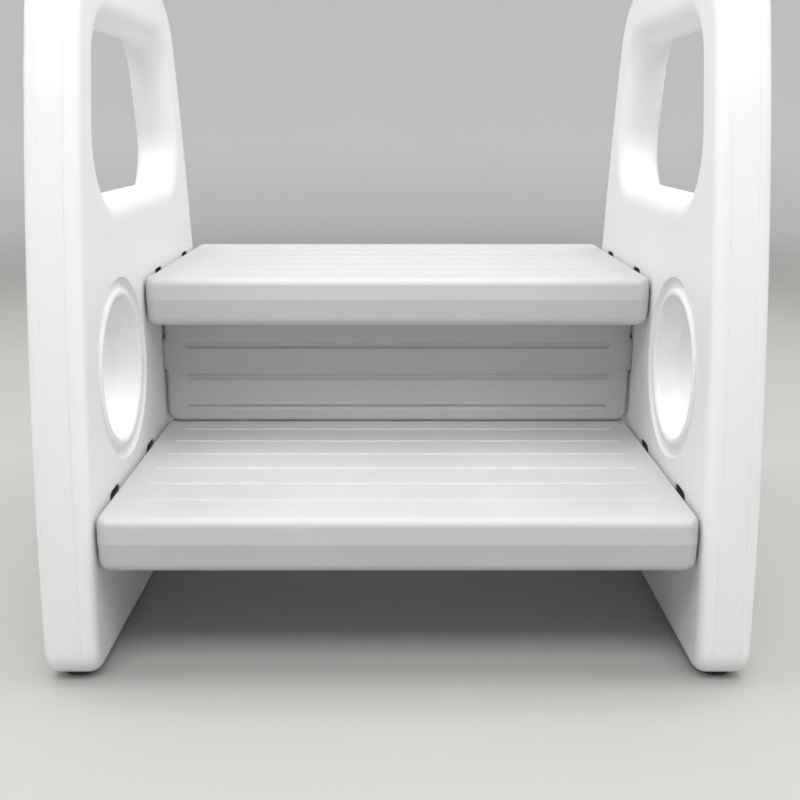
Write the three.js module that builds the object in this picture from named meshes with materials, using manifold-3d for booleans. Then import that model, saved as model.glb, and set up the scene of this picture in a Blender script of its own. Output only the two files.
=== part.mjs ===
// A low two-step stool: two blow-moulded side panels joined by two treads and a riser.
// Millimetres. +Z is up, X runs across the stool, and the user climbs towards +Y.
// The origin is on the floor, in the middle of the overall footprint. Sizes below are measured from
// the middle of the side panels, and the last lines centre the whole stool.
import * as THREE from "three";
import { mergeVertices } from "three/addons/utils/BufferGeometryUtils.js";
import Module from "manifold-3d";

const wasm = await Module();
wasm.setup();

// Side panels
const INNER_HALF_WIDTH = 220;
const PANEL_THICKNESS = 40;
const PANEL_TOP = 520;
const PANEL_BOTTOM = 2.5;
const FOOT_HALF_DEPTH = 236.5;
const EDGE_LEAN = 0.0417;
const EDGE_CURVE = 0.0002565;
const TOP_CORNER = 65;
const BOTTOM_CORNER = 22;
const EDGE_ROUND = 10;
const WALL = 3;

// Round porthole near the front of each panel, narrowest at the panel's middle plane
const PORTHOLE_Y = -104.5;
const PORTHOLE_Z = 209.5;
const RING_RADIUS = 72.5;
const MOUTH_RADIUS = 57;
const WAIST_RADIUS = 48.5;
const RING_DEPTH = 4;
const RING_SLOPE = 4;
const LIP_WIDTH = 3;
const LIP_DROP = 0.8;
const FLARE_WIDTH = 4;
const FLARE_HEIGHT = 9;

// Hand-hold opening in the top of each panel
const HAND_BOTTOM = 344.5;
const HAND_TOP = 472;
const POST_WIDTH = 48;
const HAND_CORNER = 40;
const HAND_ROUND = 18;

// Treads
const TREAD_HALF_LENGTH = 219;
const TREAD_DEPTH = 274;
const TREAD_THICKNESS = 41.5;
const TREAD_CORNER = 12;
const PARTING_DEPTH = 18;
const DRAFT = 1.8;
const TOP_ROUND = 7.5;
const UNDER_ROUND = 9;
const TREADS = [
  { name: "lower_tread", front: -224.7, top: 125 },
  { name: "upper_tread", front: -34.6, top: 270.7 },
];
const GROOVE_COUNT = 6;
const GROOVE_PITCH = 36.9;
const GROOVE_HALF_LENGTH = 199;
const GROOVE_WIDTH = 6;
const GROOVE_DEPTH = 1.6;
const GROOVE_SLOPE = 1.8;
const GROOVE_END_RADIUS = 2.55;

// Riser between the treads
const RISER_FRONT = 30.4;
const RISER_THICKNESS = 19;
const RISER_HALF_LENGTH = 218;
const RISER_CORNER = 10;
const RISER_ROUND = 4;
const RISER_GROOVE_HEIGHTS = [14, 44, 74];

// Lugs on the ends of the treads and riser. Each sits in a close seat in the panel, and a tread's
// lug gets there through a taller entry pocket just behind the seat.
const LUG_REACH = 14;
const LUG_CLEARANCE = 2;
const LUG_PLAY = 0.8;
const LUG_CORNER = 6;
const TREAD_LUGS = [
  { end: "front", along: 47.5 },
  { end: "rear", along: 166 },
];
const TREAD_LUG_LENGTH = 20;
const TREAD_LUG_HEIGHT = 24;
const ENTRY_START = 7;
const ENTRY_LENGTH = 27.5;
const ENTRY_HEIGHT = 43;
const RISER_LUG_Z = 190;
const RISER_LUG_LENGTH = 17;
const RISER_LUG_HEIGHT = 32;

// Bolts, washers, inserts and caps
const GAP = 0.3;
const SHANK_RADIUS = 4;
const SHANK_LENGTH = 32;
const SHANK_CHAMFER = 0.8;
const HEAD_RADIUS = 6.5;
const HEAD_HEIGHT = 5.5;
const HEAD_CHAMFER = 1.3;
const HEX_RADIUS = 2.9;
const HEX_DEPTH = 3;
const WASHER_RADIUS = 9;
const WASHER_THICKNESS = 1.6;
const COUNTERBORE_RADIUS = 11;
const COUNTERBORE_DEPTH = 11;
const INSERT_RADIUS = 6;
const INSERT_LENGTH = 16;
const INSERT_SETBACK = 1;
const CAP_RADIUS = 13;
const CAP_RECESS = 1.5;
const CAP_CROWN = 1.6;
const CAP_SKIRT = 2.5;
const SKIRT_WALL = 1.5;

// Rubber feet
const FOOT_Y = 185;
const FOOT_LENGTH = 70;
const FOOT_WIDTH = 19;
const FOOT_CORNER = 7;
const FOOT_CHAMFER = 0.6;
const FOOT_STEM_RADIUS = 5;
const FOOT_STEM_HEIGHT = 7;
const FOOT_HOLE_DEPTH = 9;

// Facets: steps round the panels' corners, other corners, edges and small corners, and segments
// of the porthole and of turned pieces
const PANEL_STEPS = 6;
const CORNER_STEPS = 4;
const EDGE_STEPS = 3;
const SMALL_STEPS = 2;
const PORTHOLE_SEGMENTS = 32;
const TURNED_SEGMENTS = 12;

// How far a cutting tool stands out past a face, and how deep a joined piece sinks into its neighbour
const OVERLAP = 1;

const OUTER_FACE = INNER_HALF_WIDTH + PANEL_THICKNESS;
const PANEL_MIDDLE = INNER_HALF_WIDTH + PANEL_THICKNESS / 2;
const SLOT_FLOOR = INNER_HALF_WIDTH + LUG_REACH + LUG_CLEARANCE;
const BORE_FLOOR = OUTER_FACE - COUNTERBORE_DEPTH;

// Directions for building: an outline drawn in a plane is swept along the axis named here.
const ALONG_X = new THREE.Matrix4().makeBasis(
  new THREE.Vector3(0, 1, 0),
  new THREE.Vector3(0, 0, 1),
  new THREE.Vector3(1, 0, 0),
);
const ALONG_Y = new THREE.Matrix4().makeBasis(
  new THREE.Vector3(0, 0, 1),
  new THREE.Vector3(1, 0, 0),
  new THREE.Vector3(0, 1, 0),
);

// ---------- outlines ----------

// A closed polygon whose corners are rounded; each corner is [u, v, radius].
function roundedPolygon(corners, segments) {
  const points = [];
  corners.forEach(([u, v, radius], i) => {
    const here = new THREE.Vector2(u, v);
    if (!radius) {
      points.push(here);
      return;
    }
    const [lastU, lastV] = corners.at(i - 1);
    const [nextU, nextV] = corners[(i + 1) % corners.length];
    const before = new THREE.Vector2(lastU, lastV).sub(here).normalize();
    const after = new THREE.Vector2(nextU, nextV).sub(here).normalize();
    const half = before.angleTo(after) / 2;
    const middle = before.clone().add(after).normalize();
    const centre = here.clone().addScaledVector(middle, radius / Math.sin(half));
    const start = here.clone().addScaledVector(before, radius / Math.tan(half)).sub(centre);
    const end = here.clone().addScaledVector(after, radius / Math.tan(half)).sub(centre);
    const turn = Math.atan2(start.cross(end), start.dot(end));
    for (let k = 0; k <= segments; k++) {
      const spoke = start.clone().rotateAround(new THREE.Vector2(), (turn * k) / segments);
      points.push(centre.clone().add(spoke));
    }
  });
  return points;
}

function roundedRectangle(u0, v0, u1, v1, radius, segments) {
  const corners = [[u0, v0], [u1, v0], [u1, v1], [u0, v1]];
  return roundedPolygon(corners.map((corner) => [...corner, radius]), segments);
}

function circle(u, v, radius, segments) {
  return Array.from({ length: segments }, (_, k) => {
    const angle = (2 * Math.PI * k) / segments;
    return new THREE.Vector2(u + radius * Math.cos(angle), v + radius * Math.sin(angle));
  });
}

// Moves an outline sideways, towards the left of its direction of travel.
function offset(points, distance) {
  const count = points.length;
  return points.map((point, i) => {
    const arriving = point.clone().sub(points[(i + count - 1) % count]).normalize();
    const leaving = points[(i + 1) % count].clone().sub(point).normalize();
    const left = new THREE.Vector2(-arriving.y - leaving.y, arriving.x + leaving.x).normalize();
    const stretch = left.x * -arriving.y + left.y * arriving.x;
    return point.clone().addScaledVector(left, distance / stretch);
  });
}

// Quarter round from a face (inset = size) to the side (inset = 0), as [inset, height above the face].
function quarterRound(size, steps) {
  return Array.from({ length: steps + 1 }, (_, k) => {
    const angle = (Math.PI / 2) * (k / steps);
    return [size * (1 - Math.sin(angle)), size * (1 - Math.cos(angle))];
  });
}

// The same profile on both faces of a board of the given thickness, lowest first.
function mirrored(profile, thickness) {
  const upper = profile.map(([inset, height]) => [inset, thickness - height]).reverse();
  return [...profile, ...upper];
}

// ---------- solids ----------

// A board with rounded edges. Loops are closed outlines with the material on their left, the first
// one the outside, and each has a profile of [inset, height] steps from the lower face to the upper.
function board(loops) {
  const positions = [];
  const indices = [];
  const caps = { lower: [], upper: [] };
  for (const { points, profile } of loops) {
    const count = points.length;
    const first = positions.length / 3;
    for (const [inset, height] of profile) {
      for (const p of offset(points, inset)) positions.push(p.x, p.y, height);
    }
    for (let ring = 0; ring < profile.length - 1; ring++) {
      for (let i = 0; i < count; i++) {
        const a = first + ring * count + i;
        const b = first + ring * count + ((i + 1) % count);
        indices.push(a, b, b + count, a, b + count, a + count);
      }
    }
    caps.lower.push({ first, points: offset(points, profile[0][0]) });
    const last = first + (profile.length - 1) * count;
    caps.upper.push({ first: last, points: offset(points, profile.at(-1)[0]) });
  }
  for (const [side, rings] of Object.entries(caps)) {
    const names = rings.flatMap(({ first, points }) => points.map((_, i) => first + i));
    const [contour, ...holes] = rings.map(({ points }) => points);
    for (const [a, b, c] of THREE.ShapeUtils.triangulateShape(contour, holes)) {
      if (side === "upper") indices.push(names[a], names[b], names[c]);
      else indices.push(names[c], names[b], names[a]);
    }
  }
  const geometry = new THREE.BufferGeometry();
  geometry.setAttribute("position", new THREE.Float32BufferAttribute(positions, 3));
  geometry.setIndex(indices);
  return geometry;
}

// Turns a closed geometry into a manifold-3d solid, swept along an axis and moved into place.
function solid(geometry, direction, shift = [0, 0, 0]) {
  const placed = geometry.clone();
  placed.deleteAttribute("normal");
  placed.deleteAttribute("uv");
  if (direction) placed.applyMatrix4(direction);
  placed.translate(...shift);
  const merged = mergeVertices(placed, 1e-4);
  return new wasm.Manifold(
    new wasm.Mesh({
      numProp: 3,
      vertProperties: merged.attributes.position.array,
      triVerts: new Uint32Array(merged.index.array),
    }),
  );
}

// A round bar along X between two X positions.
function barX(x0, x1, radius, y, z, segments = TURNED_SEGMENTS) {
  const bar = new THREE.CylinderGeometry(radius, radius, Math.abs(x1 - x0), segments);
  bar.rotateZ(Math.PI / 2);
  return solid(bar, null, [(x0 + x1) / 2, y, z]);
}

// A block along X with a rounded Y-Z outline.
function blockX(x0, x1, y0, z0, y1, z1, radius) {
  const low = Math.min(x0, x1);
  const points = roundedRectangle(y0, z0, y1, z1, radius, SMALL_STEPS);
  return solid(board([{ points, profile: [[0, 0], [0, Math.abs(x1 - x0)]] }]), ALONG_X, [low, 0, 0]);
}

// Turns a profile of [radius, height] points, which starts and ends on the axis, about X.
function turnedX(profile, side, x, y, z) {
  const points = profile.map(([radius, height]) => new THREE.Vector2(radius, height));
  const turned = new THREE.LatheGeometry(points, TURNED_SEGMENTS);
  turned.rotateZ((-side * Math.PI) / 2);
  return solid(turned, null, [x, y, z]);
}

const pieces = new THREE.Group();

function addMesh(name, body, material) {
  const { vertProperties, triVerts } = body.getMesh();
  const geometry = new THREE.BufferGeometry();
  geometry.setAttribute("position", new THREE.BufferAttribute(vertProperties, 3));
  geometry.setIndex(new THREE.BufferAttribute(triVerts, 1));
  geometry.computeVertexNormals();
  const mesh = new THREE.Mesh(geometry, material.clone());
  mesh.name = name;
  pieces.add(mesh);
}

// ---------- side panels ----------

const halfDepthAt = (z) => FOOT_HALF_DEPTH - EDGE_LEAN * z - EDGE_CURVE * z * z;

// The panel's outline, counter-clockwise in Y-Z: both edges lean in towards the top.
function panelOutline(steps) {
  const low = PANEL_BOTTOM + 2 * BOTTOM_CORNER;
  const high = PANEL_TOP - 1.4 * TOP_CORNER;
  const heights = Array.from({ length: steps + 1 }, (_, k) => low + ((high - low) * k) / steps);
  const rear = heights.map((z) => [halfDepthAt(z), z, 0]);
  const front = heights.toReversed().map((z) => [-halfDepthAt(z), z, 0]);
  return roundedPolygon(
    [
      [-halfDepthAt(PANEL_BOTTOM), PANEL_BOTTOM, BOTTOM_CORNER],
      [halfDepthAt(PANEL_BOTTOM), PANEL_BOTTOM, BOTTOM_CORNER],
      ...rear,
      [halfDepthAt(PANEL_TOP), PANEL_TOP, TOP_CORNER],
      [-halfDepthAt(PANEL_TOP), PANEL_TOP, TOP_CORNER],
      ...front,
    ],
    steps,
  );
}

// The hand-hold's outline, clockwise, at the middle of the panel's thickness.
function handOutline(steps) {
  const low = halfDepthAt(HAND_BOTTOM) - POST_WIDTH;
  const high = halfDepthAt(HAND_TOP) - POST_WIDTH;
  return roundedPolygon(
    [
      [-low, HAND_BOTTOM, HAND_CORNER],
      [-high, HAND_TOP, HAND_CORNER],
      [high, HAND_TOP, HAND_CORNER],
      [low, HAND_BOTTOM, HAND_CORNER],
    ],
    steps,
  );
}

function portholeOutline(segments) {
  return circle(PORTHOLE_Y, PORTHOLE_Z, WAIST_RADIUS, segments).reverse();
}

// Half the porthole's profile, from the face to the waist: a ring groove, a lip and a flared bore.
function portholeProfile() {
  const section = [
    [RING_RADIUS, 0],
    [RING_RADIUS - RING_SLOPE, RING_DEPTH],
    [MOUTH_RADIUS + LIP_WIDTH, LIP_DROP],
    [MOUTH_RADIUS, RING_DEPTH / 2],
    [WAIST_RADIUS + FLARE_WIDTH, PANEL_THICKNESS / 2 - FLARE_HEIGHT],
    [WAIST_RADIUS, PANEL_THICKNESS / 2],
  ];
  return section.map(([radius, height]) => [radius - WAIST_RADIUS, height]);
}

function panelShell() {
  const rim = mirrored(quarterRound(EDGE_ROUND, EDGE_STEPS), PANEL_THICKNESS);
  const grip = mirrored(quarterRound(HAND_ROUND, EDGE_STEPS), PANEL_THICKNESS);
  const waist = portholeProfile();
  const bore = mirrored(waist, PANEL_THICKNESS).toSpliced(waist.length, 1);
  return board([
    { points: panelOutline(PANEL_STEPS), profile: rim },
    { points: handOutline(PANEL_STEPS), profile: grip },
    { points: portholeOutline(PORTHOLE_SEGMENTS), profile: bore },
  ]);
}

// The air space inside a panel: its faces and edges are one wall thickness inside the shell.
function panelCavity() {
  const space = PANEL_THICKNESS - 2 * WALL;
  const taper = (size) => mirrored([[size + WALL, 0], [WALL, size]], space);
  const lining = RING_RADIUS - WAIST_RADIUS + WALL;
  return board([
    { points: panelOutline(EDGE_STEPS), profile: taper(EDGE_ROUND - WALL) },
    { points: handOutline(EDGE_STEPS), profile: taper(HAND_ROUND - WALL) },
    { points: portholeOutline(TURNED_SEGMENTS), profile: [[lining, 0], [lining, space]] },
  ]);
}

// Every place where a bolt goes through a panel: the bolt's Y and Z, and the pockets for its lug,
// each as [lowest Y, lowest Z, highest Y, highest Z].
function fixings() {
  const treads = TREADS.flatMap(({ name, front, top }) =>
    TREAD_LUGS.map(({ end, along }) =>
      treadFixing(`${name.replace("_tread", "")}_${end}`, front + along, top - TREAD_THICKNESS / 2),
    ),
  );
  const y = RISER_FRONT + RISER_THICKNESS / 2;
  const seat = seatAround(y, RISER_LUG_Z, RISER_LUG_LENGTH, RISER_LUG_HEIGHT);
  return [...treads, { name: "riser", y, z: RISER_LUG_Z, pockets: [seat] }];
}

// A tread's lug drops into the tall entry pocket and slides forward along the passage to its seat.
function treadFixing(name, y, z) {
  const seat = seatAround(y, z, TREAD_LUG_LENGTH, TREAD_LUG_HEIGHT);
  const front = y + ENTRY_START;
  const rear = front + ENTRY_LENGTH;
  const passage = [y, seat[1], (front + rear) / 2, seat[3]];
  const entry = [front, z - ENTRY_HEIGHT / 2, rear, z + ENTRY_HEIGHT / 2];
  return { name, y, z, pockets: [seat, passage, entry] };
}

function seatAround(y, z, length, height) {
  const halfLength = length / 2 + LUG_PLAY;
  const halfHeight = height / 2 + LUG_PLAY;
  return [y - halfLength, z - halfHeight, y + halfLength, z + halfHeight];
}

// Blocks along X at each pocket, grown sideways by a margin.
function pocketBlocks(x0, x1, margin) {
  return fixings().flatMap(({ pockets }) =>
    pockets.map(([y0, z0, y1, z1]) =>
      blockX(x0, x1, y0 - margin, z0 - margin, y1 + margin, z1 + margin, LUG_CORNER),
    ),
  );
}

function sidePanel(side) {
  const low = side > 0 ? INNER_HALF_WIDTH : -OUTER_FACE;
  const past = side * (OUTER_FACE + OVERLAP);
  let cavity = solid(panelCavity(), ALONG_X, [low + WALL, 0, 0]);
  for (const pillar of pocketBlocks(side * INNER_HALF_WIDTH, side * OUTER_FACE, WALL)) {
    cavity = cavity.subtract(pillar);
  }
  let shell = solid(panelShell(), ALONG_X, [low, 0, 0]).subtract(cavity);
  for (const pocket of pocketBlocks(side * (INNER_HALF_WIDTH - OVERLAP), side * SLOT_FLOOR, 0)) {
    shell = shell.subtract(pocket);
  }
  for (const { y, z } of fixings()) {
    shell = shell
      .subtract(barX(side * BORE_FLOOR, past, COUNTERBORE_RADIUS, y, z))
      .subtract(barX(side * (OUTER_FACE - CAP_RECESS), past, CAP_RADIUS + GAP, y, z))
      .subtract(barX(side * (SLOT_FLOOR - OVERLAP), past, SHANK_RADIUS + GAP, y, z));
  }
  for (const y of [-FOOT_Y, FOOT_Y]) shell = shell.subtract(footHole(side, y));
  return shell;
}

// An upright bar whose lower end is at a given height.
function post(radius, height, x, y, bottom) {
  const bar = new THREE.CylinderGeometry(radius, radius, height, TURNED_SEGMENTS);
  bar.rotateX(Math.PI / 2);
  return solid(bar, null, [x, y, bottom + height / 2]);
}

// The hole in a panel's underside for a foot's stem; it opens into the panel's air space.
function footHole(side, y) {
  const height = FOOT_HOLE_DEPTH + OVERLAP;
  return post(FOOT_STEM_RADIUS + GAP, height, side * PANEL_MIDDLE, y, PANEL_BOTTOM - OVERLAP);
}

// ---------- treads and riser ----------

// Edge of a tread from its underside to its top: two drafted faces meet in a crisp parting line.
function treadEdge() {
  const parting = TREAD_THICKNESS - PARTING_DEPTH;
  const under = quarterRound(UNDER_ROUND, EDGE_STEPS).map(([inset, height]) => [inset + DRAFT, height]);
  const above = quarterRound(TOP_ROUND, EDGE_STEPS)
    .map(([inset, height]) => [inset + DRAFT, TREAD_THICKNESS - height])
    .reverse();
  return [...under, [0, parting], ...above];
}

// The cutting tool for a long shallow groove with round ends, drawn in the plane of the board.
function grooveTool(v) {
  const half = GROOVE_WIDTH / 2;
  const length = GROOVE_HALF_LENGTH;
  const points = roundedRectangle(-length, v - half, length, v + half, GROOVE_END_RADIUS, SMALL_STEPS);
  const profile = [[GROOVE_SLOPE, 0], [0, GROOVE_DEPTH], [0, GROOVE_DEPTH + OVERLAP]];
  return board([{ points, profile }]);
}

// A block that runs out of a board's end into the panel.
function lug(side, inner, y, z, length, height) {
  const tip = side * (INNER_HALF_WIDTH + LUG_REACH);
  const front = y - length / 2;
  const bottom = z - height / 2;
  return blockX(side * inner, tip, front, bottom, front + length, bottom + height, LUG_CORNER);
}

// The bore in a lug for its threaded insert; it opens into the board's hollow inside.
function lugBore(side, inner, y, z) {
  const tip = side * (INNER_HALF_WIDTH + LUG_REACH + OVERLAP);
  return barX(side * (inner - 2 * WALL), tip, INSERT_RADIUS + GAP, y, z);
}

// A tread's solid outside, before its lugs, hollow and grooves.
function treadBlank(front, bottom) {
  const half = TREAD_HALF_LENGTH;
  const rear = front + TREAD_DEPTH;
  const points = roundedRectangle(-half, front, half, rear, TREAD_CORNER, CORNER_STEPS);
  return solid(board([{ points, profile: treadEdge() }]), null, [0, 0, bottom]);
}

// The air space inside a tread, one wall thickness inside the outside.
function treadCavity(front, bottom) {
  const half = TREAD_HALF_LENGTH - WALL;
  const rear = front + TREAD_DEPTH - WALL;
  const corner = TREAD_CORNER - WALL;
  const points = roundedRectangle(-half, front + WALL, half, rear, corner, SMALL_STEPS);
  const space = TREAD_THICKNESS - 2 * WALL;
  const profile = [
    [UNDER_ROUND - WALL + DRAFT, 0],
    [DRAFT, UNDER_ROUND],
    [DRAFT, space - TOP_ROUND],
    [TOP_ROUND, space],
  ];
  return solid(board([{ points, profile }]), null, [0, 0, bottom + WALL]);
}

function tread({ front, top }) {
  const bottom = top - TREAD_THICKNESS;
  const height = top - TREAD_THICKNESS / 2;
  const wallInside = TREAD_HALF_LENGTH - 3 * WALL;
  const ends = [-1, 1].flatMap((side) => TREAD_LUGS.map(({ along }) => [side, front + along]));
  let body = treadBlank(front, bottom);
  for (const [side, y] of ends) {
    body = body.add(lug(side, wallInside, y, height, TREAD_LUG_LENGTH, TREAD_LUG_HEIGHT));
  }
  body = body.subtract(treadCavity(front, bottom));
  for (let i = 0; i < GROOVE_COUNT; i++) {
    const y = front + TREAD_DEPTH / 2 + (i - (GROOVE_COUNT - 1) / 2) * GROOVE_PITCH;
    body = body.subtract(solid(grooveTool(y), null, [0, 0, top - GROOVE_DEPTH]));
  }
  for (const [side, y] of ends) body = body.subtract(lugBore(side, wallInside, y, height));
  return body;
}

// The riser's board, or its air space with an inset. It is drawn with u up it and v across the stool,
// so that the sweep runs from front to rear.
function riserBoard(inset, corner, steps, profile) {
  const bottom = TREADS[0].top + GAP + inset;
  const top = TREADS[1].top - TREAD_THICKNESS - GAP - inset;
  const half = RISER_HALF_LENGTH - inset;
  const points = roundedRectangle(bottom, -half, top, half, corner, steps);
  return solid(board([{ points, profile }]), ALONG_Y, [0, RISER_FRONT + inset, 0]);
}

function riser() {
  const y = RISER_FRONT + RISER_THICKNESS / 2;
  const wallInside = RISER_HALF_LENGTH - 2 * WALL;
  const edges = mirrored(quarterRound(RISER_ROUND, SMALL_STEPS), RISER_THICKNESS);
  let body = riserBoard(0, RISER_CORNER, CORNER_STEPS, edges);
  for (const side of [-1, 1]) {
    body = body.add(lug(side, wallInside, y, RISER_LUG_Z, RISER_LUG_LENGTH, RISER_LUG_HEIGHT));
  }
  const space = [[0, 0], [0, RISER_THICKNESS - 2 * WALL]];
  body = body.subtract(riserBoard(WALL, RISER_CORNER - WALL, SMALL_STEPS, space));
  for (const up of RISER_GROOVE_HEIGHTS) {
    const tool = grooveTool(0);
    tool.rotateX(Math.PI / 2);
    body = body.subtract(solid(tool, null, [0, RISER_FRONT + GROOVE_DEPTH, TREADS[0].top + up]));
  }
  for (const side of [-1, 1]) body = body.subtract(lugBore(side, wallInside, y, RISER_LUG_Z));
  return body;
}

// ---------- fasteners and feet ----------

function bolt(side, y, z) {
  const seat = BORE_FLOOR + WASHER_THICKNESS + 2 * GAP;
  const top = seat + HEAD_HEIGHT;
  const profile = [
    [0, -SHANK_LENGTH],
    [SHANK_RADIUS - SHANK_CHAMFER, -SHANK_LENGTH],
    [SHANK_RADIUS, -SHANK_LENGTH + SHANK_CHAMFER],
    [SHANK_RADIUS, 0],
    [HEAD_RADIUS, 0],
    [HEAD_RADIUS, HEAD_HEIGHT - HEAD_CHAMFER],
    [HEAD_RADIUS - HEAD_CHAMFER, HEAD_HEIGHT],
    [0, HEAD_HEIGHT],
  ];
  const socket = barX(side * (top - HEX_DEPTH), side * (top + OVERLAP), HEX_RADIUS, y, z, 6);
  return turnedX(profile, side, side * seat, y, z).subtract(socket);
}

// A straight sleeve along X with a clearance hole for the bolt.
function sleeve(side, inner, length, radius, y, z) {
  const outer = inner + length;
  const hole = barX(side * (inner - OVERLAP), side * (outer + OVERLAP), SHANK_RADIUS + GAP, y, z);
  return barX(side * inner, side * outer, radius, y, z).subtract(hole);
}

const washer = (side, y, z) => sleeve(side, BORE_FLOOR + GAP, WASHER_THICKNESS, WASHER_RADIUS, y, z);

// A brass sleeve that stands in the lug's bore, just inside the lug's tip.
function insert(side, y, z) {
  const inner = INNER_HALF_WIDTH + LUG_REACH - INSERT_SETBACK - INSERT_LENGTH;
  return sleeve(side, inner, INSERT_LENGTH, INSERT_RADIUS, y, z);
}

// A push-in cap: a crowned disc with a thin skirt that grips the counterbore.
function cap(side, y, z) {
  const skirt = COUNTERBORE_RADIUS - GAP;
  const crown = [1, 0.85, 0.5, 0].map((share) => [
    CAP_RADIUS * share,
    CAP_RECESS + CAP_CROWN * (1 - share ** 2),
  ]);
  const profile = [
    [0, GAP],
    [skirt - SKIRT_WALL, GAP],
    [skirt - SKIRT_WALL, -CAP_SKIRT],
    [skirt, -CAP_SKIRT],
    [skirt, GAP],
    [CAP_RADIUS, GAP],
    ...crown,
  ];
  return turnedX(profile, side, side * (OUTER_FACE - CAP_RECESS), y, z);
}

// A flat rubber pad under the panel with a stem pushed up into it.
function foot(side, y) {
  const x = side * PANEL_MIDDLE;
  const halfWidth = FOOT_WIDTH / 2;
  const halfLength = FOOT_LENGTH / 2;
  const height = PANEL_BOTTOM - GAP;
  const points = roundedRectangle(
    x - halfWidth, y - halfLength, x + halfWidth, y + halfLength, FOOT_CORNER, CORNER_STEPS,
  );
  const profile = [[FOOT_CHAMFER, 0], [0, FOOT_CHAMFER], [0, height]];
  const stem = post(FOOT_STEM_RADIUS, FOOT_STEM_HEIGHT + OVERLAP, x, y, height - OVERLAP);
  return solid(board([{ points, profile }]), null).add(stem);
}

// ---------- materials and assembly ----------

const MATERIALS = {
  shell: new THREE.MeshStandardMaterial({ color: 0xf2f2f0, roughness: 0.42, metalness: 0 }),
  steel: new THREE.MeshStandardMaterial({ color: 0x9a9c9f, roughness: 0.35, metalness: 1 }),
  brass: new THREE.MeshStandardMaterial({ color: 0xb9924a, roughness: 0.4, metalness: 1 }),
  trim: new THREE.MeshStandardMaterial({ color: 0xe9e9e6, roughness: 0.5, metalness: 0 }),
  rubber: new THREE.MeshStandardMaterial({ color: 0x3a3b3c, roughness: 0.8, metalness: 0 }),
};

for (const step of TREADS) addMesh(step.name, tread(step), MATERIALS.shell);
addMesh("riser", riser(), MATERIALS.shell);
for (const [sideName, side] of [["left", -1], ["right", 1]]) {
  addMesh(`${sideName}_panel`, sidePanel(side), MATERIALS.shell);
  for (const { name, y, z } of fixings()) {
    addMesh(`${name}_bolt_${sideName}`, bolt(side, y, z), MATERIALS.steel);
    addMesh(`${name}_washer_${sideName}`, washer(side, y, z), MATERIALS.steel);
    addMesh(`${name}_insert_${sideName}`, insert(side, y, z), MATERIALS.brass);
    addMesh(`${name}_cap_${sideName}`, cap(side, y, z), MATERIALS.trim);
  }
  for (const [place, y] of [["front", -FOOT_Y], ["rear", FOOT_Y]]) {
    addMesh(`${place}_foot_${sideName}`, foot(side, y), MATERIALS.rubber);
  }
}

// The upper tread stands out behind the panels, so the footprint's middle isn't the panels' middle.
const footprint = new THREE.Box3().setFromObject(pieces).getCenter(new THREE.Vector3());
pieces.position.y = -footprint.y;

const stool = new THREE.Group();
stool.add(pieces);

export default stool;
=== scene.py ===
"""Looks for a low two-step stool: white blow-moulded side panels, grey treads and riser.

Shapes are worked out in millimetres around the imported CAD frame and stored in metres. Angles are named
in degrees. Studio sizes are in metres.
"""

import math

import bmesh
import bpy
from mathutils import Matrix, Vector
from mathutils.geometry import tessellate_polygon


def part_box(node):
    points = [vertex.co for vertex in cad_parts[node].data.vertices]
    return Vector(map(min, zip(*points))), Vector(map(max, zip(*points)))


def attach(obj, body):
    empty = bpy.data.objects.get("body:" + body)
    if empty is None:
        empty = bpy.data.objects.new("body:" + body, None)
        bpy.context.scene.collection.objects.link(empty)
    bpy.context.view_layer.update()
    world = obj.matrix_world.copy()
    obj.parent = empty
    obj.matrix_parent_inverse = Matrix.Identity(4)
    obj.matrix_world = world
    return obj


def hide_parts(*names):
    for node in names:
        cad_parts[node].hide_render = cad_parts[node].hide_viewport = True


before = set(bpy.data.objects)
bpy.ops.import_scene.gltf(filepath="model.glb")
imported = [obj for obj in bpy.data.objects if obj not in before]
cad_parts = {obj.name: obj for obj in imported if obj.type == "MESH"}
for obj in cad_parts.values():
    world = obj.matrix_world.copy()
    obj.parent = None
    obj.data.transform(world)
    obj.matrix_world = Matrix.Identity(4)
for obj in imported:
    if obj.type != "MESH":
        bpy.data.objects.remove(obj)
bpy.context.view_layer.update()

MM = 0.001
BODY = "root"


def box_mm(node):
    """A CAD node's lowest and highest corners, in millimetres."""
    low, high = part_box(node)
    return Vector(low) / MM, Vector(high) / MM


PANEL_LOW, PANEL_HIGH = box_mm("right_panel")
LOWER_LOW, LOWER_HIGH = box_mm("lower_tread")
UPPER_LOW, UPPER_HIGH = box_mm("upper_tread")
RISER_LOW, RISER_HIGH = box_mm("riser")

# ---------- sizes: the main ones are shared with the CAD model ----------

THICKNESS = PANEL_HIGH.x - PANEL_LOW.x
PANEL_Y = (PANEL_LOW.y + PANEL_HIGH.y) / 2
PANEL_TOP = PANEL_HIGH.z
PANEL_BOTTOM = PANEL_LOW.z
FOOT_HALF_DEPTH = 236.5
EDGE_LEAN = 0.0417
EDGE_CURVE = 0.0002565
TOP_CORNER = 65
BOTTOM_CORNER = 22
EDGE_ROUND = 10

# The fine outline swells past the CAD's coarser one at its corners, so it is drawn a little smaller
OUTLINE_MARGIN = 0.05

# Sections of the panel's edge lines, as (beyond the round, depth) and (inset, beyond the round)
BEAD = ((2.6, 0), (2.0, 0.45), (1.2, 0.1))
FINE_LINE = ((0, 0.15), (0.35, 0.6), (0, 1.05))

PORTHOLE_Y = PANEL_Y - 104.5
PORTHOLE_Z = 209.5
RING_RADIUS = 72.5
MOUTH_RADIUS = 57
WAIST_RADIUS = 48.5
RING_DEPTH = 4

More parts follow.
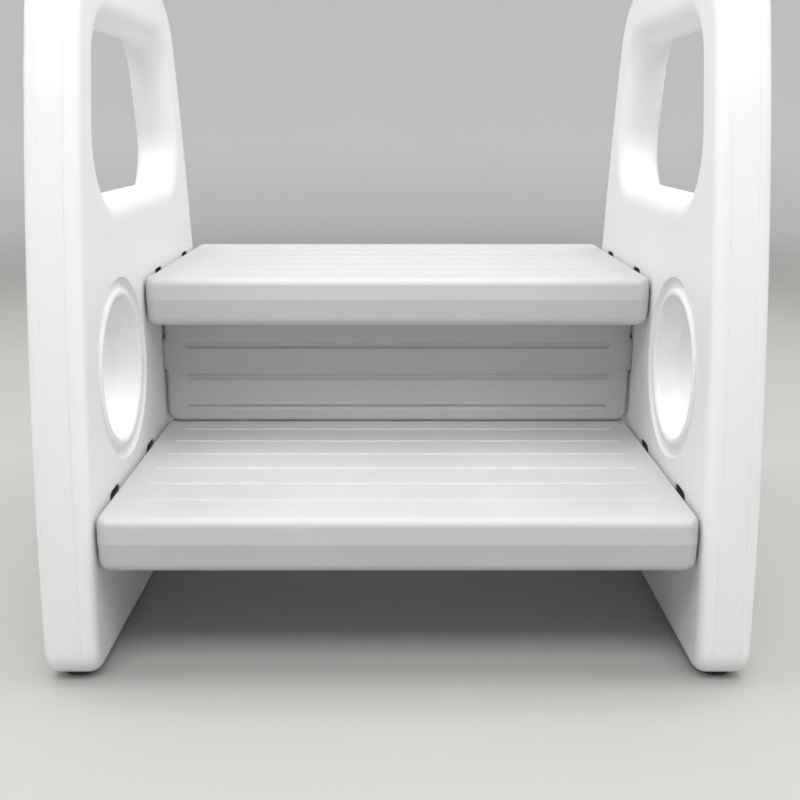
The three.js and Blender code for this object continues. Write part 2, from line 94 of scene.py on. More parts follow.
# Section of the ring groove, as (inset from its radius, share of its depth)
RING_SECTION = ((-0.5, 0), (0, 0.125), (1.2, 0.6), (3, 0.92), (5, 1), (7, 0.92), (9, 0.6))
LIP_RADIUS = 4.2
LIP_OFFSET = 3.2
LIP_SINK = 0.2
LIP_START = 40
LIP_SWEEP = 125
BORE_INSET = 1.2
BORE_START = 5
BORE_CURVE = 1.15
SEAM_DEPTH = 0.2
SEAM_HALF_WIDTH = 0.4
BORE_STEPS = 8

HAND_BOTTOM = 344.5
HAND_TOP = 472
POST_WIDTH = 48
HAND_CORNER = 40
HAND_ROUND = 18
HAND_STEPS = 12
HAND_CREASE = 0.25

TREAD_HALF_LENGTH = 219
END_DRAFT = 0.5
END_SHARE = 0.4
TREAD_CORNER = 12
PARTING_DEPTH = 18
DRAFT = 1.8
TOP_ROUND = 7.5
UNDER_ROUND = 9
GROOVE_COUNT = 6
GROOVE_PITCH = 36.9
GROOVE_HALF_LENGTH = 199
GROOVE_HALF_WIDTH = 3
GROOVE_DEPTH = 1.6
RISER_GROOVE_DEPTH = 2.6

# Section of a groove, as (share of its half-width, share of its depth)
GROOVE_SECTION = ((1, 0), (0.92, 0.14), (0.77, 0.47), (0.57, 0.78), (0.33, 0.95), (0.12, 1))
GROOVE_END = 0.96

# The treads' parting seam, as (inset, distance above the parting height)
PARTING_SEAM = ((0.12, -0.5), (0, -0.15), (0, 0.15), (0.12, 0.5))

RISER_HALF_LENGTH = 218
RISER_CORNER = 10
RISER_ROUND = 4
RISER_GROOVE_HEIGHTS = (14, 44, 74)

LUG_REACH = 14
LUG_PLAY = 0.8
LUG_CORNER = 6
LUG_TIP_ROUND = 1.5
LUG_EMBED = 9
LUG_LENGTH = 20
LUG_HEIGHT = 24
RISER_LUG_LENGTH = 17
RISER_LUG_HEIGHT = 32

# The soft boss where a riser lug leaves the board, as (growth, distance past the riser's end)
RISER_BOSS = (
    (-1.2, -20),
    (0.3, -16),
    (1.3, -12),
    (1.9, -8),
    (1.9, -4.5),
    (1.4, -1.5),
    (0.6, 1),
    (0, 2.6),
)

ENTRY_START = 7
ENTRY_LENGTH = 27.5
ENTRY_HEIGHT = 43
POCKET_DEPTH = 16
POCKET_RIM = 1.3
RIM_ROUND = 1.0
ENTRY_STEP_ROUND = 2.5
BORE_RADIUS = 11
BORE_DEPTH = 11
RECESS_RADIUS = 13.3
RECESS_DEPTH = 1.5
RECESS_EASE = 0.4
HOLE_RADIUS = 4.3
INSERT_BORE = 6.3
LUG_BORE_DEPTH = 18

# Points round the circles of the openings and bores
PORTHOLE_SEGMENTS = 96
BORE_SEGMENTS = 40
INSERT_SEGMENTS = 32
HOLE_SEGMENTS = 24

# A cap's skirt, plate, rim as (inset, depth below its top) and dome
CAP_PLAY = 0.3
CAP_WALL = 1.5
CAP_PLATE = 2.8
CAP_EASE = 0.1
CAP_CORE = 0.6
CAP_RIM = ((0.3, 2.8), (0, 2.5), (0, 1.7), (0.25, 1.35))
CAP_LEDGE = 0.5
DOME_CORE = 0.5
DOME_HEIGHT = 1.3
DOME_CURVE = 2.2
DOME_STEPS = 8

# A foot's pad, with edges as (inset, height), the channels in its sole and its stem
FOOT_CORNER = 7
FOOT_GAP = 0.3
FOOT_EDGE = ((0.7, 0.0), (0.2, 0.2), (0, 0.7))
CHANNEL_COUNT = 11
CHANNEL_PITCH = 5.4
CHANNEL_HALF_LENGTH = 6.4
CHANNEL_HALF_WIDTH = 0.9
CHANNEL_CORNER = 0.8
CHANNEL_DEPTH = 0.8
CHANNEL_TAPER = 0.25
STEM = ((5.8, 0), (5.1, 0.6), (4.9, 1.4), (4.9, 4.2), (5.0, 4.6), (5.0, 5.4))
STEM_TIP = ((4.4, 0.5), (3.4, 0))
STEM_SEGMENTS = 32

SIDES = (("left", -1), ("right", 1))
FIXINGS = ("lower_front", "lower_rear", "upper_front", "upper_rear", "riser")

# ---------- light ----------

WORLD_LIGHT = 0.02

# The backdrop glows more with its distance in metres, from nothing at the start of this range
WALL_GLOW = 0.3
GLOW_START = 2.0
GLOW_END = 3.9
BACKDROP_SEGMENTS = 96

# Soft lights: name, place, target and size in metres, and power in watts
LIGHTS = (
    ("key", (0, -1.15, 1.75), (0, -0.05, 0.2), (2.2, 0.7), 24),
    ("overhead", (0, 0.25, 2.3), (0, 0.05, 0), (3.2, 1.4), 49),
    ("left_side", (-1.7, -0.2, 1.5), (0, 0, 0.2), (1.2, 1.2), 9),
    ("right_side", (1.7, -0.2, 1.5), (0, 0, 0.2), (1.2, 1.2), 9),
    ("back", (0, 1.4, 1.8), (0, 0, 0.2), (2.4, 0.8), 5.5),
)


# ---------- camera ----------

# Lengths are in millimetres, and the side shift is a share of the frame's width. The eye is measured
# from the middle of the panels.
SENSOR_WIDTH = 36
LENS = 46.125
SIDE_SHIFT = 0.0032
EYE_DISTANCE = 908.6
EYE_HEIGHT = 400.2
EYE_DROP = math.radians(15.133)


def make_camera():
    eye = Vector((0, PANEL_Y - EYE_DISTANCE, EYE_HEIGHT)) * MM
    data = bpy.data.cameras.new("camera")
    data.sensor_width = SENSOR_WIDTH
    data.lens = LENS
    data.shift_x = SIDE_SHIFT
    camera = bpy.data.objects.new("camera", data)
    camera.location = eye
    camera.rotation_euler = (math.pi / 2 - EYE_DROP, 0, 0)
    bpy.context.scene.collection.objects.link(camera)
    bpy.context.scene.camera = camera


# ---------- outlines ----------


def rounded_polygon(corners, steps):
    """A closed outline whose corners are rounded; each corner is (u, v, radius)."""
    points = []
    for i, (u, v, radius) in enumerate(corners):
        here = Vector((u, v))
        if not radius:
            points.append(here)
            continue
        before = (Vector(corners[i - 1][:2]) - here).normalized()
        after = (Vector(corners[(i + 1) % len(corners)][:2]) - here).normalized()
        half = before.angle(after) / 2
        centre = here + (before + after).normalized() * radius / math.sin(half)
        start = here + before * radius / math.tan(half) - centre
        end = here + after * radius / math.tan(half) - centre
        turn = math.atan2(start.x * end.y - start.y * end.x, start.dot(end))
        for k in range(steps + 1):
            points.append(centre + Matrix.Rotation(turn * k / steps, 2) @ start)
    return points


def rectangle(u0, v0, u1, v1, radius, steps):
    corners = [(u0, v0, radius), (u1, v0, radius), (u1, v1, radius), (u0, v1, radius)]
    return rounded_polygon(corners, steps)


def circle(u, v, radius, count):
    angles = [math.tau * k / count for k in range(count)]
    return [Vector((u + radius * math.cos(a), v + radius * math.sin(a))) for a in angles]


def grown(points, distance):
    """A counter-clockwise outline moved outwards by a distance, or inwards by a negative one."""
    moved = []
    for i, point in enumerate(points):
        arriving = (point - points[i - 1]).normalized()
        leaving = (points[(i + 1) % len(points)] - point).normalized()
        right = Vector((arriving.y + leaving.y, -arriving.x - leaving.x)).normalized()
        stretch = right.x * arriving.y - right.y * arriving.x
        moved.append(point + right * distance / stretch)
    return moved


def half_depth(z):
    return FOOT_HALF_DEPTH - EDGE_LEAN * z - EDGE_CURVE * z * z


def panel_outline(corner_steps=20, edge_steps=40):
    """The side panel's outline in Y and Z: both edges lean in towards the top."""
    low = PANEL_BOTTOM + 2 * BOTTOM_CORNER
    high = PANEL_TOP - 1.4 * TOP_CORNER
    heights = [low + (high - low) * k / edge_steps for k in range(edge_steps + 1)]
    foot, head = half_depth(PANEL_BOTTOM), half_depth(PANEL_TOP)
    corners = [(-foot, PANEL_BOTTOM, BOTTOM_CORNER), (foot, PANEL_BOTTOM, BOTTOM_CORNER)]
    corners += [(half_depth(z), z, 0) for z in heights]
    corners += [(head, PANEL_TOP, TOP_CORNER), (-head, PANEL_TOP, TOP_CORNER)]
    corners += [(-half_depth(z), z, 0) for z in reversed(heights)]
    return [Vector((u + PANEL_Y, v)) for u, v in rounded_polygon(corners, corner_steps)]


def hand_outline(steps=20):
    low, high = half_depth(HAND_BOTTOM) - POST_WIDTH, half_depth(HAND_TOP) - POST_WIDTH
    corners = [
        (PANEL_Y - low, HAND_BOTTOM, HAND_CORNER),
        (PANEL_Y + low, HAND_BOTTOM, HAND_CORNER),
        (PANEL_Y + high, HAND_TOP, HAND_CORNER),
        (PANEL_Y - high, HAND_TOP, HAND_CORNER),
    ]
    return rounded_polygon(corners, steps)


def quarter(size, steps=8):
    """Quarter round as (inset from the side, depth below the face), from the face to the side."""
    angles = [math.pi / 2 * k / steps for k in range(steps + 1)]
    return [(size * (1 - math.sin(a)), size * (1 - math.cos(a))) for a in angles]


# ---------- skins ----------


class Skin:
    """A closed surface made of level rings. place(u, v, height) puts a point in space, in mm."""

    def __init__(self, place):
        self.mesh = bmesh.new()
        self.place = place
        self.paint = 0

    def ring(self, points, height):
        return [(self.mesh.verts.new(self.place(p.x, p.y, height)), p) for p in points]

    def strip(self, first, second):
        count = len(first)
        for i in range(count):
            j = (i + 1) % count
            face = self.mesh.faces.new((first[i][0], first[j][0], second[j][0], second[i][0]))
            face.material_index = self.paint

    def rings(self, outlines):
        """Joins rings given as (points, height); returns the first and the last."""
        made = [self.ring(points, height) for points, height in outlines]
        for first, second in zip(made, made[1:]):
            self.strip(first, second)
        return made[0], made[-1]

    def fill(self, *loops):
        """Closes a level region: the first ring is its outside, the others are holes in it."""
        flat = [vertex for loop in loops for vertex, _ in loop]
        outlines = [[p.to_3d() for _, p in loop] for loop in loops]
        for triangle in tessellate_polygon(outlines):
            corners = [flat[i] for i in triangle]
            if len(set(corners)) == 3 and not self.mesh.faces.get(corners):
                self.mesh.faces.new(corners).material_index = self.paint

    def finish(self, name, materials, sharp_angle=40):
        bmesh.ops.recalc_face_normals(self.mesh, faces=self.mesh.faces)
        data = bpy.data.meshes.new(name)
        self.mesh.to_mesh(data)
        self.mesh.free()
        data.transform(Matrix.Scale(MM, 4))
        data.shade_smooth()
        data.set_sharp_from_angle(angle=math.radians(sharp_angle))
        for material in materials:
            data.materials.append(material)
        piece = bpy.data.objects.new(name, data)
        bpy.context.scene.collection.objects.link(piece)
        even = piece.modifiers.new("even_normals", "WEIGHTED_NORMAL")
        even.keep_sharp = True
        even.weight = 100
        return piece


def stands_for(piece, node):
    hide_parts(node)
    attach(piece, BODY)


# ---------- side panels ----------


def edge_section():
    """The panel's edge as (inset, depth from the face): a bead line, a round and a fine line."""
    bead = [(EDGE_ROUND + beyond, depth) for beyond, depth in BEAD]
    line = [(inset, EDGE_ROUND + beyond) for inset, beyond in FINE_LINE]
    near = bead + quarter(EDGE_ROUND) + line
    far = [(inset, THICKNESS - depth) for inset, depth in reversed(near)]
    return near + far


def hand_section():
    near = quarter(HAND_ROUND, HAND_STEPS)
    crease = [(-HAND_CREASE, THICKNESS / 2)]
    far = [(inset, THICKNESS - depth) for inset, depth in reversed(near)]
    return near + crease + far


def porthole_section():
    """The porthole as (radius, depth from the face): ring groove, rounded lip, flared bore, seam."""
    groove = [(RING_RADIUS - inset, RING_DEPTH * share) for inset, share in RING_SECTION]
    lip_centre = MOUTH_RADIUS + LIP_OFFSET
    middle = THICKNESS / 2
    flare = MOUTH_RADIUS - BORE_INSET - WAIST_RADIUS
    reach = middle - BORE_START - SEAM_HALF_WIDTH
    lip, bore = [], []
    for k in range(BORE_STEPS + 1):
        share = k / BORE_STEPS
        angle = math.radians(LIP_START + LIP_SWEEP * share)
        height = LIP_RADIUS + LIP_SINK - LIP_RADIUS * math.sin(angle)
        lip.append((lip_centre + LIP_RADIUS * math.cos(angle), height))
        bore.append((WAIST_RADIUS + flare * (1 - share) ** BORE_CURVE, BORE_START + reach * share))
    near = groove + lip + bore
    far = [(radius, THICKNESS - depth) for radius, depth in reversed(near)]
    return near + [(WAIST_RADIUS - SEAM_DEPTH, middle)] + far


def pocket_outlines():
    """For each fixing: its bolt's Y and Z, and the outline of the pocket around its lug."""
    places = []
    for name in FIXINGS:
        low, high = box_mm(name + "_bolt_right")
        y, z = (low.y + high.y) / 2, (low.z + high.z) / 2
        if name == "riser":
            half_y, half_z = RISER_LUG_LENGTH / 2 + LUG_PLAY, RISER_LUG_HEIGHT / 2 + LUG_PLAY
            outline = rectangle(y - half_y, z - half_z, y + half_y, z + half_z, LUG_CORNER, 6)
        else:
            half_y, half_z = LUG_LENGTH / 2 + LUG_PLAY, LUG_HEIGHT / 2 + LUG_PLAY
            start, end, tall = y + ENTRY_START, y + ENTRY_START + ENTRY_LENGTH, ENTRY_HEIGHT / 2
            corners = [
                (y - half_y, z - half_z, LUG_CORNER),
                (start, z - half_z, ENTRY_STEP_ROUND),
                (start, z - tall, LUG_CORNER),
                (end, z - tall, LUG_CORNER),
                (end, z + tall, LUG_CORNER),
                (start, z + tall, LUG_CORNER),
                (start, z + half_z, ENTRY_STEP_ROUND),
                (y - half_y, z + half_z, LUG_CORNER),
            ]
            outline = rounded_polygon(corners, 6)
        places.append((y, z, outline))
    return places


def soft_rim(outline):
    """Rings of the small round at a pocket's rim."""
    return [(grown(outline, inset), below) for inset, below in quarter(RIM_ROUND, 3)]


def wall(skin, y, z, radius, segments, near, far):
    """A round wall through the panel between two depths; returns its two rings."""
    outline = circle(y, z, radius, segments)
    return skin.rings([(outline, near), (outline, far)])


def make_bolt_place(skin, y, z, pocket):
    """A lug's pocket, the bolt's hole and the cap's recess; returns the rings on the two faces."""
    bore_floor, recess_floor = THICKNESS - BORE_DEPTH, THICKNESS - RECESS_DEPTH
    rim, lip = skin.rings(soft_rim(pocket))
    # The pocket's walls and floor and the bolt's hole and bore take the second, dark grey material:
    # painted shade in the recess
    skin.paint = 1
    top, floor = skin.rings([(pocket, POCKET_RIM), (pocket, POCKET_DEPTH)])
    skin.strip(lip, top)
    hole, seat = wall(skin, y, z, HOLE_RADIUS, HOLE_SEGMENTS, POCKET_DEPTH, bore_floor)
    skin.fill(floor, hole)
    base, mouth = wall(skin, y, z, BORE_RADIUS, BORE_SEGMENTS, bore_floor, recess_floor)
    skin.fill(base, seat)
    skin.paint = 0
    recess = circle(y, z, RECESS_RADIUS, BORE_SEGMENTS)
    eased = circle(y, z, RECESS_RADIUS + RECESS_EASE, BORE_SEGMENTS)
    steps = [(recess, recess_floor), (recess, THICKNESS - RECESS_EASE), (eased, THICKNESS)]
    ledge, edge = skin.rings(steps)
    skin.fill(ledge, mouth)
    return rim, edge


def make_panel(name, side, material):
    inner = side * PANEL_LOW.x

    def place(y, z, depth):
        return inner + side * depth, y, z

    skin = Skin(place)
    outline = grown(panel_outline(), -OUTLINE_MARGIN)
    hand = hand_outline()
    porthole = porthole_section()
    sections = (
        [(grown(outline, -inset), depth) for inset, depth in edge_section()],
        [(grown(hand, inset), depth) for inset, depth in hand_section()],
        [(circle(PORTHOLE_Y, PORTHOLE_Z, radius, PORTHOLE_SEGMENTS), depth) for radius, depth in porthole],
    )
    pairs = [skin.rings(section) for section in sections]
    pairs += [make_bolt_place(skin, y, z, pocket) for y, z, pocket in pocket_outlines()]
    skin.fill(*[inside for inside, _ in pairs])
    skin.fill(*[outside for _, outside in pairs])
    piece = skin.finish(name, (material, POCKET_PAINTED_SHADE))
    stands_for(piece, name.replace("_moulding", ""))


# ---------- treads and riser ----------


def tread_edge(thickness):
    """A tread's edge from its underside to its top: two drafted faces meet in a fine seam."""
    parting = thickness - PARTING_DEPTH
    under = [(inset + DRAFT, depth) for inset, depth in quarter(UNDER_ROUND)]
    above = [(inset + DRAFT, thickness - depth) for inset, depth in reversed(quarter(TOP_ROUND))]
    seam = [(inset, parting + above_it) for inset, above_it in PARTING_SEAM]
    return under + seam + above


def tread_ring(outline, inset, round_share):
    """The tread's outline moved inwards, with less draft and less round at the ends than elsewhere."""
    easing = min(inset, DRAFT) - min(inset, END_DRAFT)
    easing += max(inset - DRAFT, 0) * (1 - round_share)
    return [Vector((p.x + math.copysign(easing, p.x), p.y)) for p in grown(outline, -inset)]


def groove_outline(v, half_width):
    """A long outline with round ends."""
    reach = GROOVE_HALF_LENGTH - GROOVE_HALF_WIDTH + half_width
    return rectangle(-reach, v - half_width, reach, v + half_width, half_width * GROOVE_END, 8)


def groove_rings(v, face, down, depth):
    """Rings of a groove's rounded channel, from a face into the board."""
    rings = []
    for half, share in GROOVE_SECTION:
        rings.append((groove_outline(v, GROOVE_HALF_WIDTH * half), face + down * depth * share))
    return rings


def make_lug(skin_place, y, z, length, height, root_section, material):
    """A lug with its bore, as one closed piece of skin. root_section is (growth, distance along X)."""
    skin = Skin(skin_place)
    half_y, half_z = length / 2, height / 2
    outline = rectangle(y - half_y, z - half_z, y + half_y, z + half_z, LUG_CORNER, 8)
    reach = PANEL_LOW.x + LUG_REACH
    base = [(grown(outline, growth), along) for growth, along in root_section]
    arc = reversed(quarter(LUG_TIP_ROUND, 4))
    tip_round = [(grown(outline, -inset), reach - depth) for inset, depth in arc]
    root, tip = skin.rings(base + tip_round)
    bore = circle(y, z, INSERT_BORE, INSERT_SEGMENTS)
    bottom, mouth = skin.rings([(bore, reach - LUG_BORE_DEPTH), (bore, reach)])
    skin.fill(tip, mouth)
    skin.fill(root)
    skin.fill(bottom)
    return skin.finish("lug", (material,))


def join(target, extras):
    """Unites pieces with a target by exact booleans, then removes the extras."""
    for extra in extras:
        modifier = target.modifiers.new("unite", "BOOLEAN")
        modifier.operation = "UNION"
        modifier.solver = "EXACT"
        modifier.object = extra
    target.modifiers.move(0, len(target.modifiers) - 1)
    graph = bpy.context.evaluated_depsgraph_get()
    united = bpy.data.meshes.new_from_object(target.evaluated_get(graph))
    target.modifiers.clear()
    target.data = united
    for extra in extras:
        bpy.data.objects.remove(extra)


def lugs_for(node, length, height, root_section, material):
    """The lugs at both ends of a board, found from the bolts that go through them."""
    made = []
    for fixing in FIXINGS:
        if not fixing.startswith(node.replace("_tread", "")):
            continue
        low, high = box_mm(fixing + "_bolt_right")
        y, z = (low.y + high.y) / 2, (low.z + high.z) / 2
        for _, side in SIDES:

            def place(u, v, reach, side=side):
                return side * reach, u, v

            made.append(make_lug(place, y, z, length, height, root_section, material))
    return made


def make_tread(node, low, high, material):
    thickness = high.z - low.z
    skin = Skin(lambda u, v, height: (u, v, low.z + height))
    outline = rectangle(-TREAD_HALF_LENGTH, low.y, TREAD_HALF_LENGTH, high.y, TREAD_CORNER, 12)
    rings = []
    for inset, height in tread_edge(thickness):
        round_share = END_SHARE if height > thickness - PARTING_DEPTH else 1
        rings.append((tread_ring(outline, inset, round_share), height))
    base, top = skin.rings(rings)
    skin.fill(base)
    mouths = []
    middle = (low.y + high.y) / 2
    for i in range(GROOVE_COUNT):
        v = middle + (i - (GROOVE_COUNT - 1) / 2) * GROOVE_PITCH
        mouth, bed = skin.rings(groove_rings(v, thickness, -1, GROOVE_DEPTH))
        skin.fill(bed)
        mouths.append(mouth)
    skin.fill(top, *mouths)
    piece = skin.finish(node + "_moulding", (material,), 25)
    root = [(0, TREAD_HALF_LENGTH - LUG_EMBED)]
    join(piece, lugs_for(node, LUG_LENGTH, LUG_HEIGHT, root, material))
    return piece


def make_riser(material):
    low, high = RISER_LOW, RISER_HIGH
    thickness = high.y - low.y
    skin = Skin(lambda u, v, depth: (u, low.y + depth, v))
    outline = rectangle(-RISER_HALF_LENGTH, low.z, RISER_HALF_LENGTH, high.z, RISER_CORNER, 10)
    near = quarter(RISER_ROUND, 6)
    far = [(inset, thickness - depth) for inset, depth in reversed(near)]
    section = near + [(0, thickness / 2)] + far
    front, rear = skin.rings([(grown(outline, -inset), depth) for inset, depth in section])
    mouths = []
    for up in RISER_GROOVE_HEIGHTS:
        mouth, bed = skin.rings(groove_rings(LOWER_HIGH.z + up, 0, 1, RISER_GROOVE_DEPTH))
        skin.fill(bed)
        mouths.append(mouth)
    skin.fill(front, *mouths)
    skin.fill(rear)
    piece = skin.finish("riser_moulding", (material,), 25)
    root = [(growth, RISER_HALF_LENGTH + along) for growth, along in RISER_BOSS]
    join(piece, lugs_for("riser", RISER_LUG_LENGTH, RISER_LUG_HEIGHT, root, material))
    return piece


# ---------- caps and feet ----------


def turned(name, section, centre, side, material, count=64):
    """A turned piece about X: section is (radius, distance outwards), closed from axis to axis."""
    skin = Skin(lambda u, v, out: (centre.x + side * out, centre.y + u, centre.z + v))
    first, last = skin.rings([(circle(0, 0, radius, count), out) for radius, out in section])
    skin.fill(first)
    skin.fill(last)
    return skin.finish(name, (material,), 35)


def make_cap(name, side_name, side, material):
    node = f"{name}_cap_{side_name}"
    low, high = box_mm(node)
    outer = high.x if side > 0 else low.x
    y, z = (low.y + high.y) / 2, (low.z + high.z) / 2
    centre = Vector((outer, y, z))
    radius = (high.z - low.z) / 2
    reach = high.x - low.x
    skirt = BORE_RADIUS - CAP_PLAY
    hollow = skirt - CAP_WALL
    section = [(CAP_CORE, -CAP_PLATE - CAP_EASE), (hollow - CAP_EASE, -CAP_PLATE - CAP_EASE)]
    section += [(hollow, -reach), (skirt, -reach), (skirt, -CAP_PLATE)]
    section += [(radius - inset, -depth) for inset, depth in CAP_RIM]
    for k in range(DOME_STEPS + 1):
        share = 1 - k / DOME_STEPS
        across = max(DOME_CORE, (radius - CAP_LEDGE) * share)
        section.append((across, -DOME_HEIGHT * share**DOME_CURVE))
    piece = turned(node.replace("cap", "cover"), section, centre, side, material)
    stands_for(piece, node)


def make_foot(place_name, side_name, material):
    """A rubber pad with a ribbed sole and a domed stem."""
    node = f"{place_name}_foot_{side_name}"
    low, high = box_mm(node)
    pad_top = PANEL_BOTTOM - FOOT_GAP
    x, y = (low.x + high.x) / 2, (low.y + high.y) / 2
    skin = Skin(lambda u, v, height: (u, v, height))
    outline = rectangle(low.x, low.y, high.x, high.y, FOOT_CORNER, 10)
    sides = [(grown(outline, -inset), height) for inset, height in FOOT_EDGE]
    sides += [(outline, pad_top - FOOT_GAP), (grown(outline, -FOOT_GAP), pad_top)]
    sole, shoulder = skin.rings(sides)
    channels = []
    for i in range(CHANNEL_COUNT):
        v = y + (i - (CHANNEL_COUNT - 1) / 2) * CHANNEL_PITCH
        near, far = v - CHANNEL_HALF_WIDTH, v + CHANNEL_HALF_WIDTH
        left, right = x - CHANNEL_HALF_LENGTH, x + CHANNEL_HALF_LENGTH
        channel = rectangle(left, near, right, far, CHANNEL_CORNER, 4)
        mouth, bed = skin.rings([(channel, 0), (grown(channel, -CHANNEL_TAPER), CHANNEL_DEPTH)])
        skin.fill(bed)
        channels.append(mouth)
    skin.fill(sole, *channels)
    profile = [(radius, pad_top + up) for radius, up in STEM]
    profile += [(radius, high.z - down) for radius, down in STEM_TIP]
    stem = [(circle(x, y, radius, STEM_SEGMENTS), height) for radius, height in profile]
    collar, tip = skin.rings(stem)
    skin.fill(shoulder, collar)
    skin.fill(tip)
    piece = skin.finish(node.replace("foot", "pad"), (material,), 35)
    stands_for(piece, node)


# ---------- materials ----------


class Nodes:
    """Short names for building a material's node tree."""

    def __init__(self, name):
        self.material = bpy.data.materials.new(name)
        self.material.use_nodes = True
        self.tree = self.material.node_tree
        self.shader = self.tree.nodes["Principled BSDF"]
        self.place = self.add("TexCoord").outputs["Object"]

    def add(self, kind, **inputs):
        node = self.tree.nodes.new("ShaderNode" + kind)
        for key, value in inputs.items():
            self.put(value, node.inputs[key.replace("_", " ")])
        return node

    def put(self, value, socket):
        if isinstance(value, bpy.types.NodeSocket):
            self.tree.links.new(value, socket)
        else:
            socket.default_value = value

    def noise(self, scale, detail=3.0, roughness=0.55, stretch=None):
        where = self.place
        if stretch:
            mapping = self.add("Mapping", Vector=self.place)
            mapping.inputs["Scale"].default_value = stretch
            where = mapping.outputs["Vector"]
        node = self.add("TexNoise", Vector=where, Scale=scale, Detail=detail, Roughness=roughness)
        return node.outputs["Fac"]

    def spread(self, value, low, high, to_low, to_high):
        node = self.tree.nodes.new("ShaderNodeMapRange")
        for index, number in enumerate((value, low, high, to_low, to_high)):
            self.put(number, node.inputs[index])
        return node.outputs["Result"]

    def blend(self, factor, first, second):
        node = self.tree.nodes.new("ShaderNodeMix")
        node.data_type = "RGBA"
        self.put(factor, node.inputs[0])
        self.put(first, node.inputs[6])
        self.put(second, node.inputs[7])
        return node.outputs[2]

    def bump(self, height, strength, distance, before=None):
        node = self.add("Bump", Height=height, Strength=strength, Distance=distance)
        if before:
            self.put(before, node.inputs["Normal"])
        return node.outputs["Normal"]


def moulded_plastic(name, colour, shade, roughness):
    """Blow-moulded polyethylene: a fine stippled skin, slow waves, faint flow marks and scuffs."""
    n = Nodes(name)
    stipple = n.noise(1900, 2.0)
    waves = n.noise(26, 2.0)
    flow = n.noise(9, 4.0, 0.6, (1.0, 1.0, 0.25))
    scuffs = n.noise(420, 5.0, 0.7, (0.12, 1.0, 1.0))
    marks = n.spread(scuffs, 0.64, 0.74, 0.0, 1.0)
    tone = n.spread(flow, 0.35, 0.65, 0.0, 1.0)
    base = n.blend(tone, (*colour, 1), (*shade, 1))
    scuffed = (*[c * 0.86 for c in shade], 1)
    worn = n.blend(n.spread(marks, 0.0, 1.0, 0.0, 0.12), base, scuffed)
    n.put(worn, n.shader.inputs["Base Color"])
    gloss = n.spread(waves, 0.3, 0.7, roughness - 0.05, roughness + 0.06)
    scuffed_gloss = n.spread(marks, 0, 1, roughness, roughness + 0.12)
    n.put(n.blend(marks, gloss, scuffed_gloss), n.shader.inputs["Roughness"])
    normal = n.bump(waves, 0.12, 0.0008)
    normal = n.bump(stipple, 0.25, 0.00006, normal)
    n.put(normal, n.shader.inputs["Normal"])
    n.shader.inputs["IOR"].default_value = 1.5
    return n.material


def rubber(name):
    """Dark rubber with a fine grain and a little dust."""
    n = Nodes(name)
    grain = n.noise(2600, 3.0)
    dust = n.noise(60, 4.0)
    clean, dusty = (0.035, 0.035, 0.037, 1), (0.085, 0.083, 0.08, 1)
    tone = n.blend(n.spread(dust, 0.4, 0.75, 0, 1), clean, dusty)
    n.put(tone, n.shader.inputs["Base Color"])
    n.put(n.spread(dust, 0.3, 0.7, 0.62, 0.85), n.shader.inputs["Roughness"])
    n.put(n.bump(grain, 0.5, 0.0001), n.shader.inputs["Normal"])
    return n.material


def metal(name, colour, dull, roughness):
    """Plated metal with turning marks and slight tarnish."""
    n = Nodes(name)
    turning = n.noise(900, 2.0, 0.5, (8.0, 1.0, 1.0))
    tarnish = n.noise(140, 4.0, 0.65)
    tone = n.blend(n.spread(tarnish, 0.4, 0.7, 0, 1), (*colour, 1), (*dull, 1))
    n.put(tone, n.shader.inputs["Base Color"])
    n.put(n.spread(tarnish, 0.3, 0.7, roughness - 0.08, roughness + 0.12), n.shader.inputs["Roughness"])
    n.put(n.bump(turning, 0.3, 0.00005), n.shader.inputs["Normal"])
    n.shader.inputs["Metallic"].default_value = 1.0
    return n.material


# ---------- studio ----------


def make_backdrop():
    """A round pale floor that curves up into a wall, in metres."""
    floor_radius, sweep, top = 3.0, 1.5, 5.0
    line = [(floor_radius * k / 12, 0.0) for k in range(1, 13)]
    for k in range(1, 17):
        angle = math.pi / 2 * k / 16
        line.append((floor_radius + sweep * math.sin(angle), sweep * (1 - math.cos(angle))))
    line.append((floor_radius + sweep, top))
    sheet = bmesh.new()
    angles = [math.tau * k / BACKDROP_SEGMENTS for k in range(BACKDROP_SEGMENTS)]
    spokes = [(math.cos(angle), math.sin(angle)) for angle in angles]
    rows = [[sheet.verts.new((radius * c, radius * s, z)) for c, s in spokes] for radius, z in line]
    sheet.faces.new(rows[0])
    for low, high in zip(rows, rows[1:]):
        for k in range(BACKDROP_SEGMENTS):
            sheet.faces.new((low[k - 1], high[k - 1], high[k], low[k]))
    bmesh.ops.recalc_face_normals(sheet, faces=sheet.faces)
    data = bpy.data.meshes.new("backdrop")
    sheet.to_mesh(data)
    sheet.free()
    data.shade_smooth()
    backdrop = bpy.data.objects.new("backdrop", data)
    bpy.context.scene.collection.objects.link(backdrop)
    n = Nodes("studio_paint")
    tone = n.blend(n.noise(2.5, 3.0), (0.43, 0.423, 0.412, 1), (0.46, 0.453, 0.442, 1))
    n.put(tone, n.shader.inputs["Base Color"])
    n.put(n.spread(n.noise(30, 3.0), 0.3, 0.7, 0.6, 0.75), n.shader.inputs["Roughness"])
    level = n.add("VectorMath")
    level.operation = "MULTIPLY"
    n.put(n.place, level.inputs[0])
    level.inputs[1].default_value = (1, 1, 0)
    distance = n.add("VectorMath")
    distance.operation = "LENGTH"
    n.put(level.outputs["Vector"], distance.inputs[0])
    glow = n.spread(distance.outputs["Value"], GLOW_START, GLOW_END, 0.0, WALL_GLOW)
    n.put(glow, n.shader.inputs["Emission Strength"])
    n.shader.inputs["Emission Color"].default_value = (1.0, 0.995, 0.985, 1)
    data.materials.append(n.material)


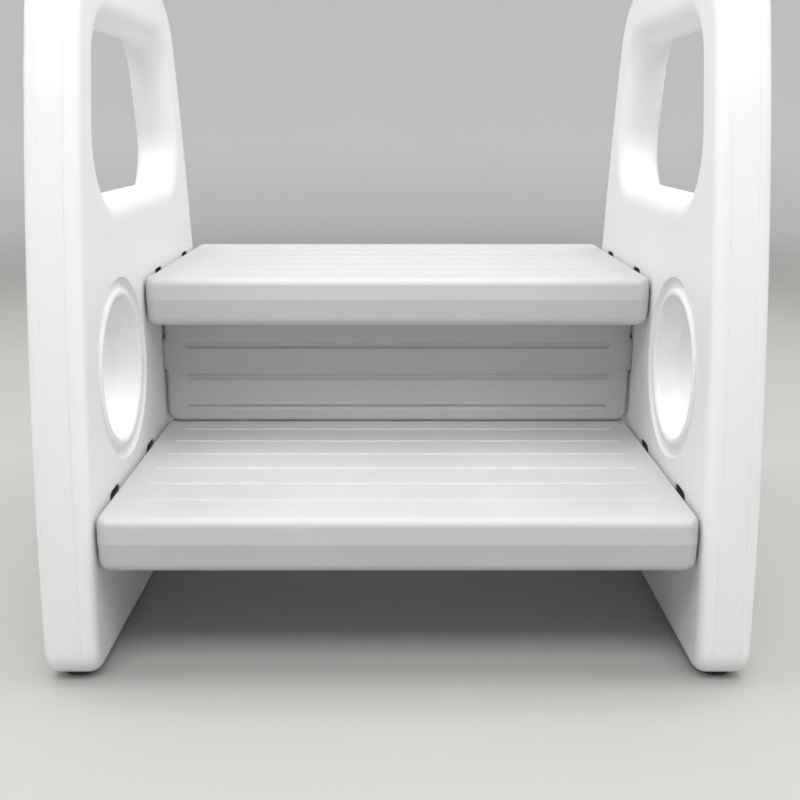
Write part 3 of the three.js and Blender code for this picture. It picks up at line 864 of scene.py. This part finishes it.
def make_studio():
    world = bpy.data.worlds.new("studio")
    bpy.context.scene.world = world
    world.use_nodes = True
    background = world.node_tree.nodes["Background"]
    background.inputs["Color"].default_value = (0.98, 0.985, 1.0, 1)
    background.inputs["Strength"].default_value = WORLD_LIGHT
    make_backdrop()
    for name, place, target, size, watts in LIGHTS:
        add_light(name, place, target, size, watts)
    bpy.context.scene.view_settings.view_transform = "Standard"


def add_light(name, place, target, size, watts):
    data = bpy.data.lights.new(name, "AREA")
    data.shape = "RECTANGLE"
    data.size, data.size_y = size
    data.energy = watts
    light = bpy.data.objects.new(name, data)
    light.location = place
    light.rotation_euler = (Vector(target) - Vector(place)).to_track_quat("-Z", "Y").to_euler()
    bpy.context.scene.collection.objects.link(light)


# ---------- the scene ----------

make_camera()
make_studio()

PANEL_PLASTIC = moulded_plastic("panel_plastic", (0.85, 0.855, 0.857), (0.83, 0.835, 0.838), 0.4)
# Dark grey for the inner faces of the lug pockets: painted shade standing in for the shadow inside them
POCKET_PAINTED_SHADE = moulded_plastic("pocket_painted_shade", (0.34, 0.34, 0.34), (0.28, 0.28, 0.28), 0.6)
TREAD_PLASTIC = moulded_plastic("tread_plastic", (0.556, 0.556, 0.557), (0.541, 0.541, 0.543), 0.42)
RISER_PLASTIC = moulded_plastic("riser_plastic", (0.54, 0.542, 0.544), (0.525, 0.527, 0.53), 0.42)
CAP_PLASTIC = moulded_plastic("cap_plastic", (0.84, 0.845, 0.847), (0.82, 0.825, 0.828), 0.45)
FOOT_RUBBER = rubber("foot_rubber")
STEEL = metal("zinc_steel", (0.55, 0.56, 0.57), (0.42, 0.42, 0.41), 0.3)
BRASS = metal("brass", (0.72, 0.55, 0.26), (0.55, 0.42, 0.22), 0.35)

for side_name, side in SIDES:
    make_panel(side_name + "_panel_moulding", side, PANEL_PLASTIC)
    for fixing in FIXINGS:
        make_cap(fixing, side_name, side, CAP_PLASTIC)
        for kind, material in (("bolt", STEEL), ("washer", STEEL), ("insert", BRASS)):
            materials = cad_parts[f"{fixing}_{kind}_{side_name}"].data.materials
            materials.clear()
            materials.append(material)
    for place_name in ("front", "rear"):
        make_foot(place_name, side_name, FOOT_RUBBER)

for node, low, high in (("lower_tread", LOWER_LOW, LOWER_HIGH), ("upper_tread", UPPER_LOW, UPPER_HIGH)):
    stands_for(make_tread(node, low, high, TREAD_PLASTIC), node)
stands_for(make_riser(RISER_PLASTIC), "riser")

bpy.context.view_layer.update()
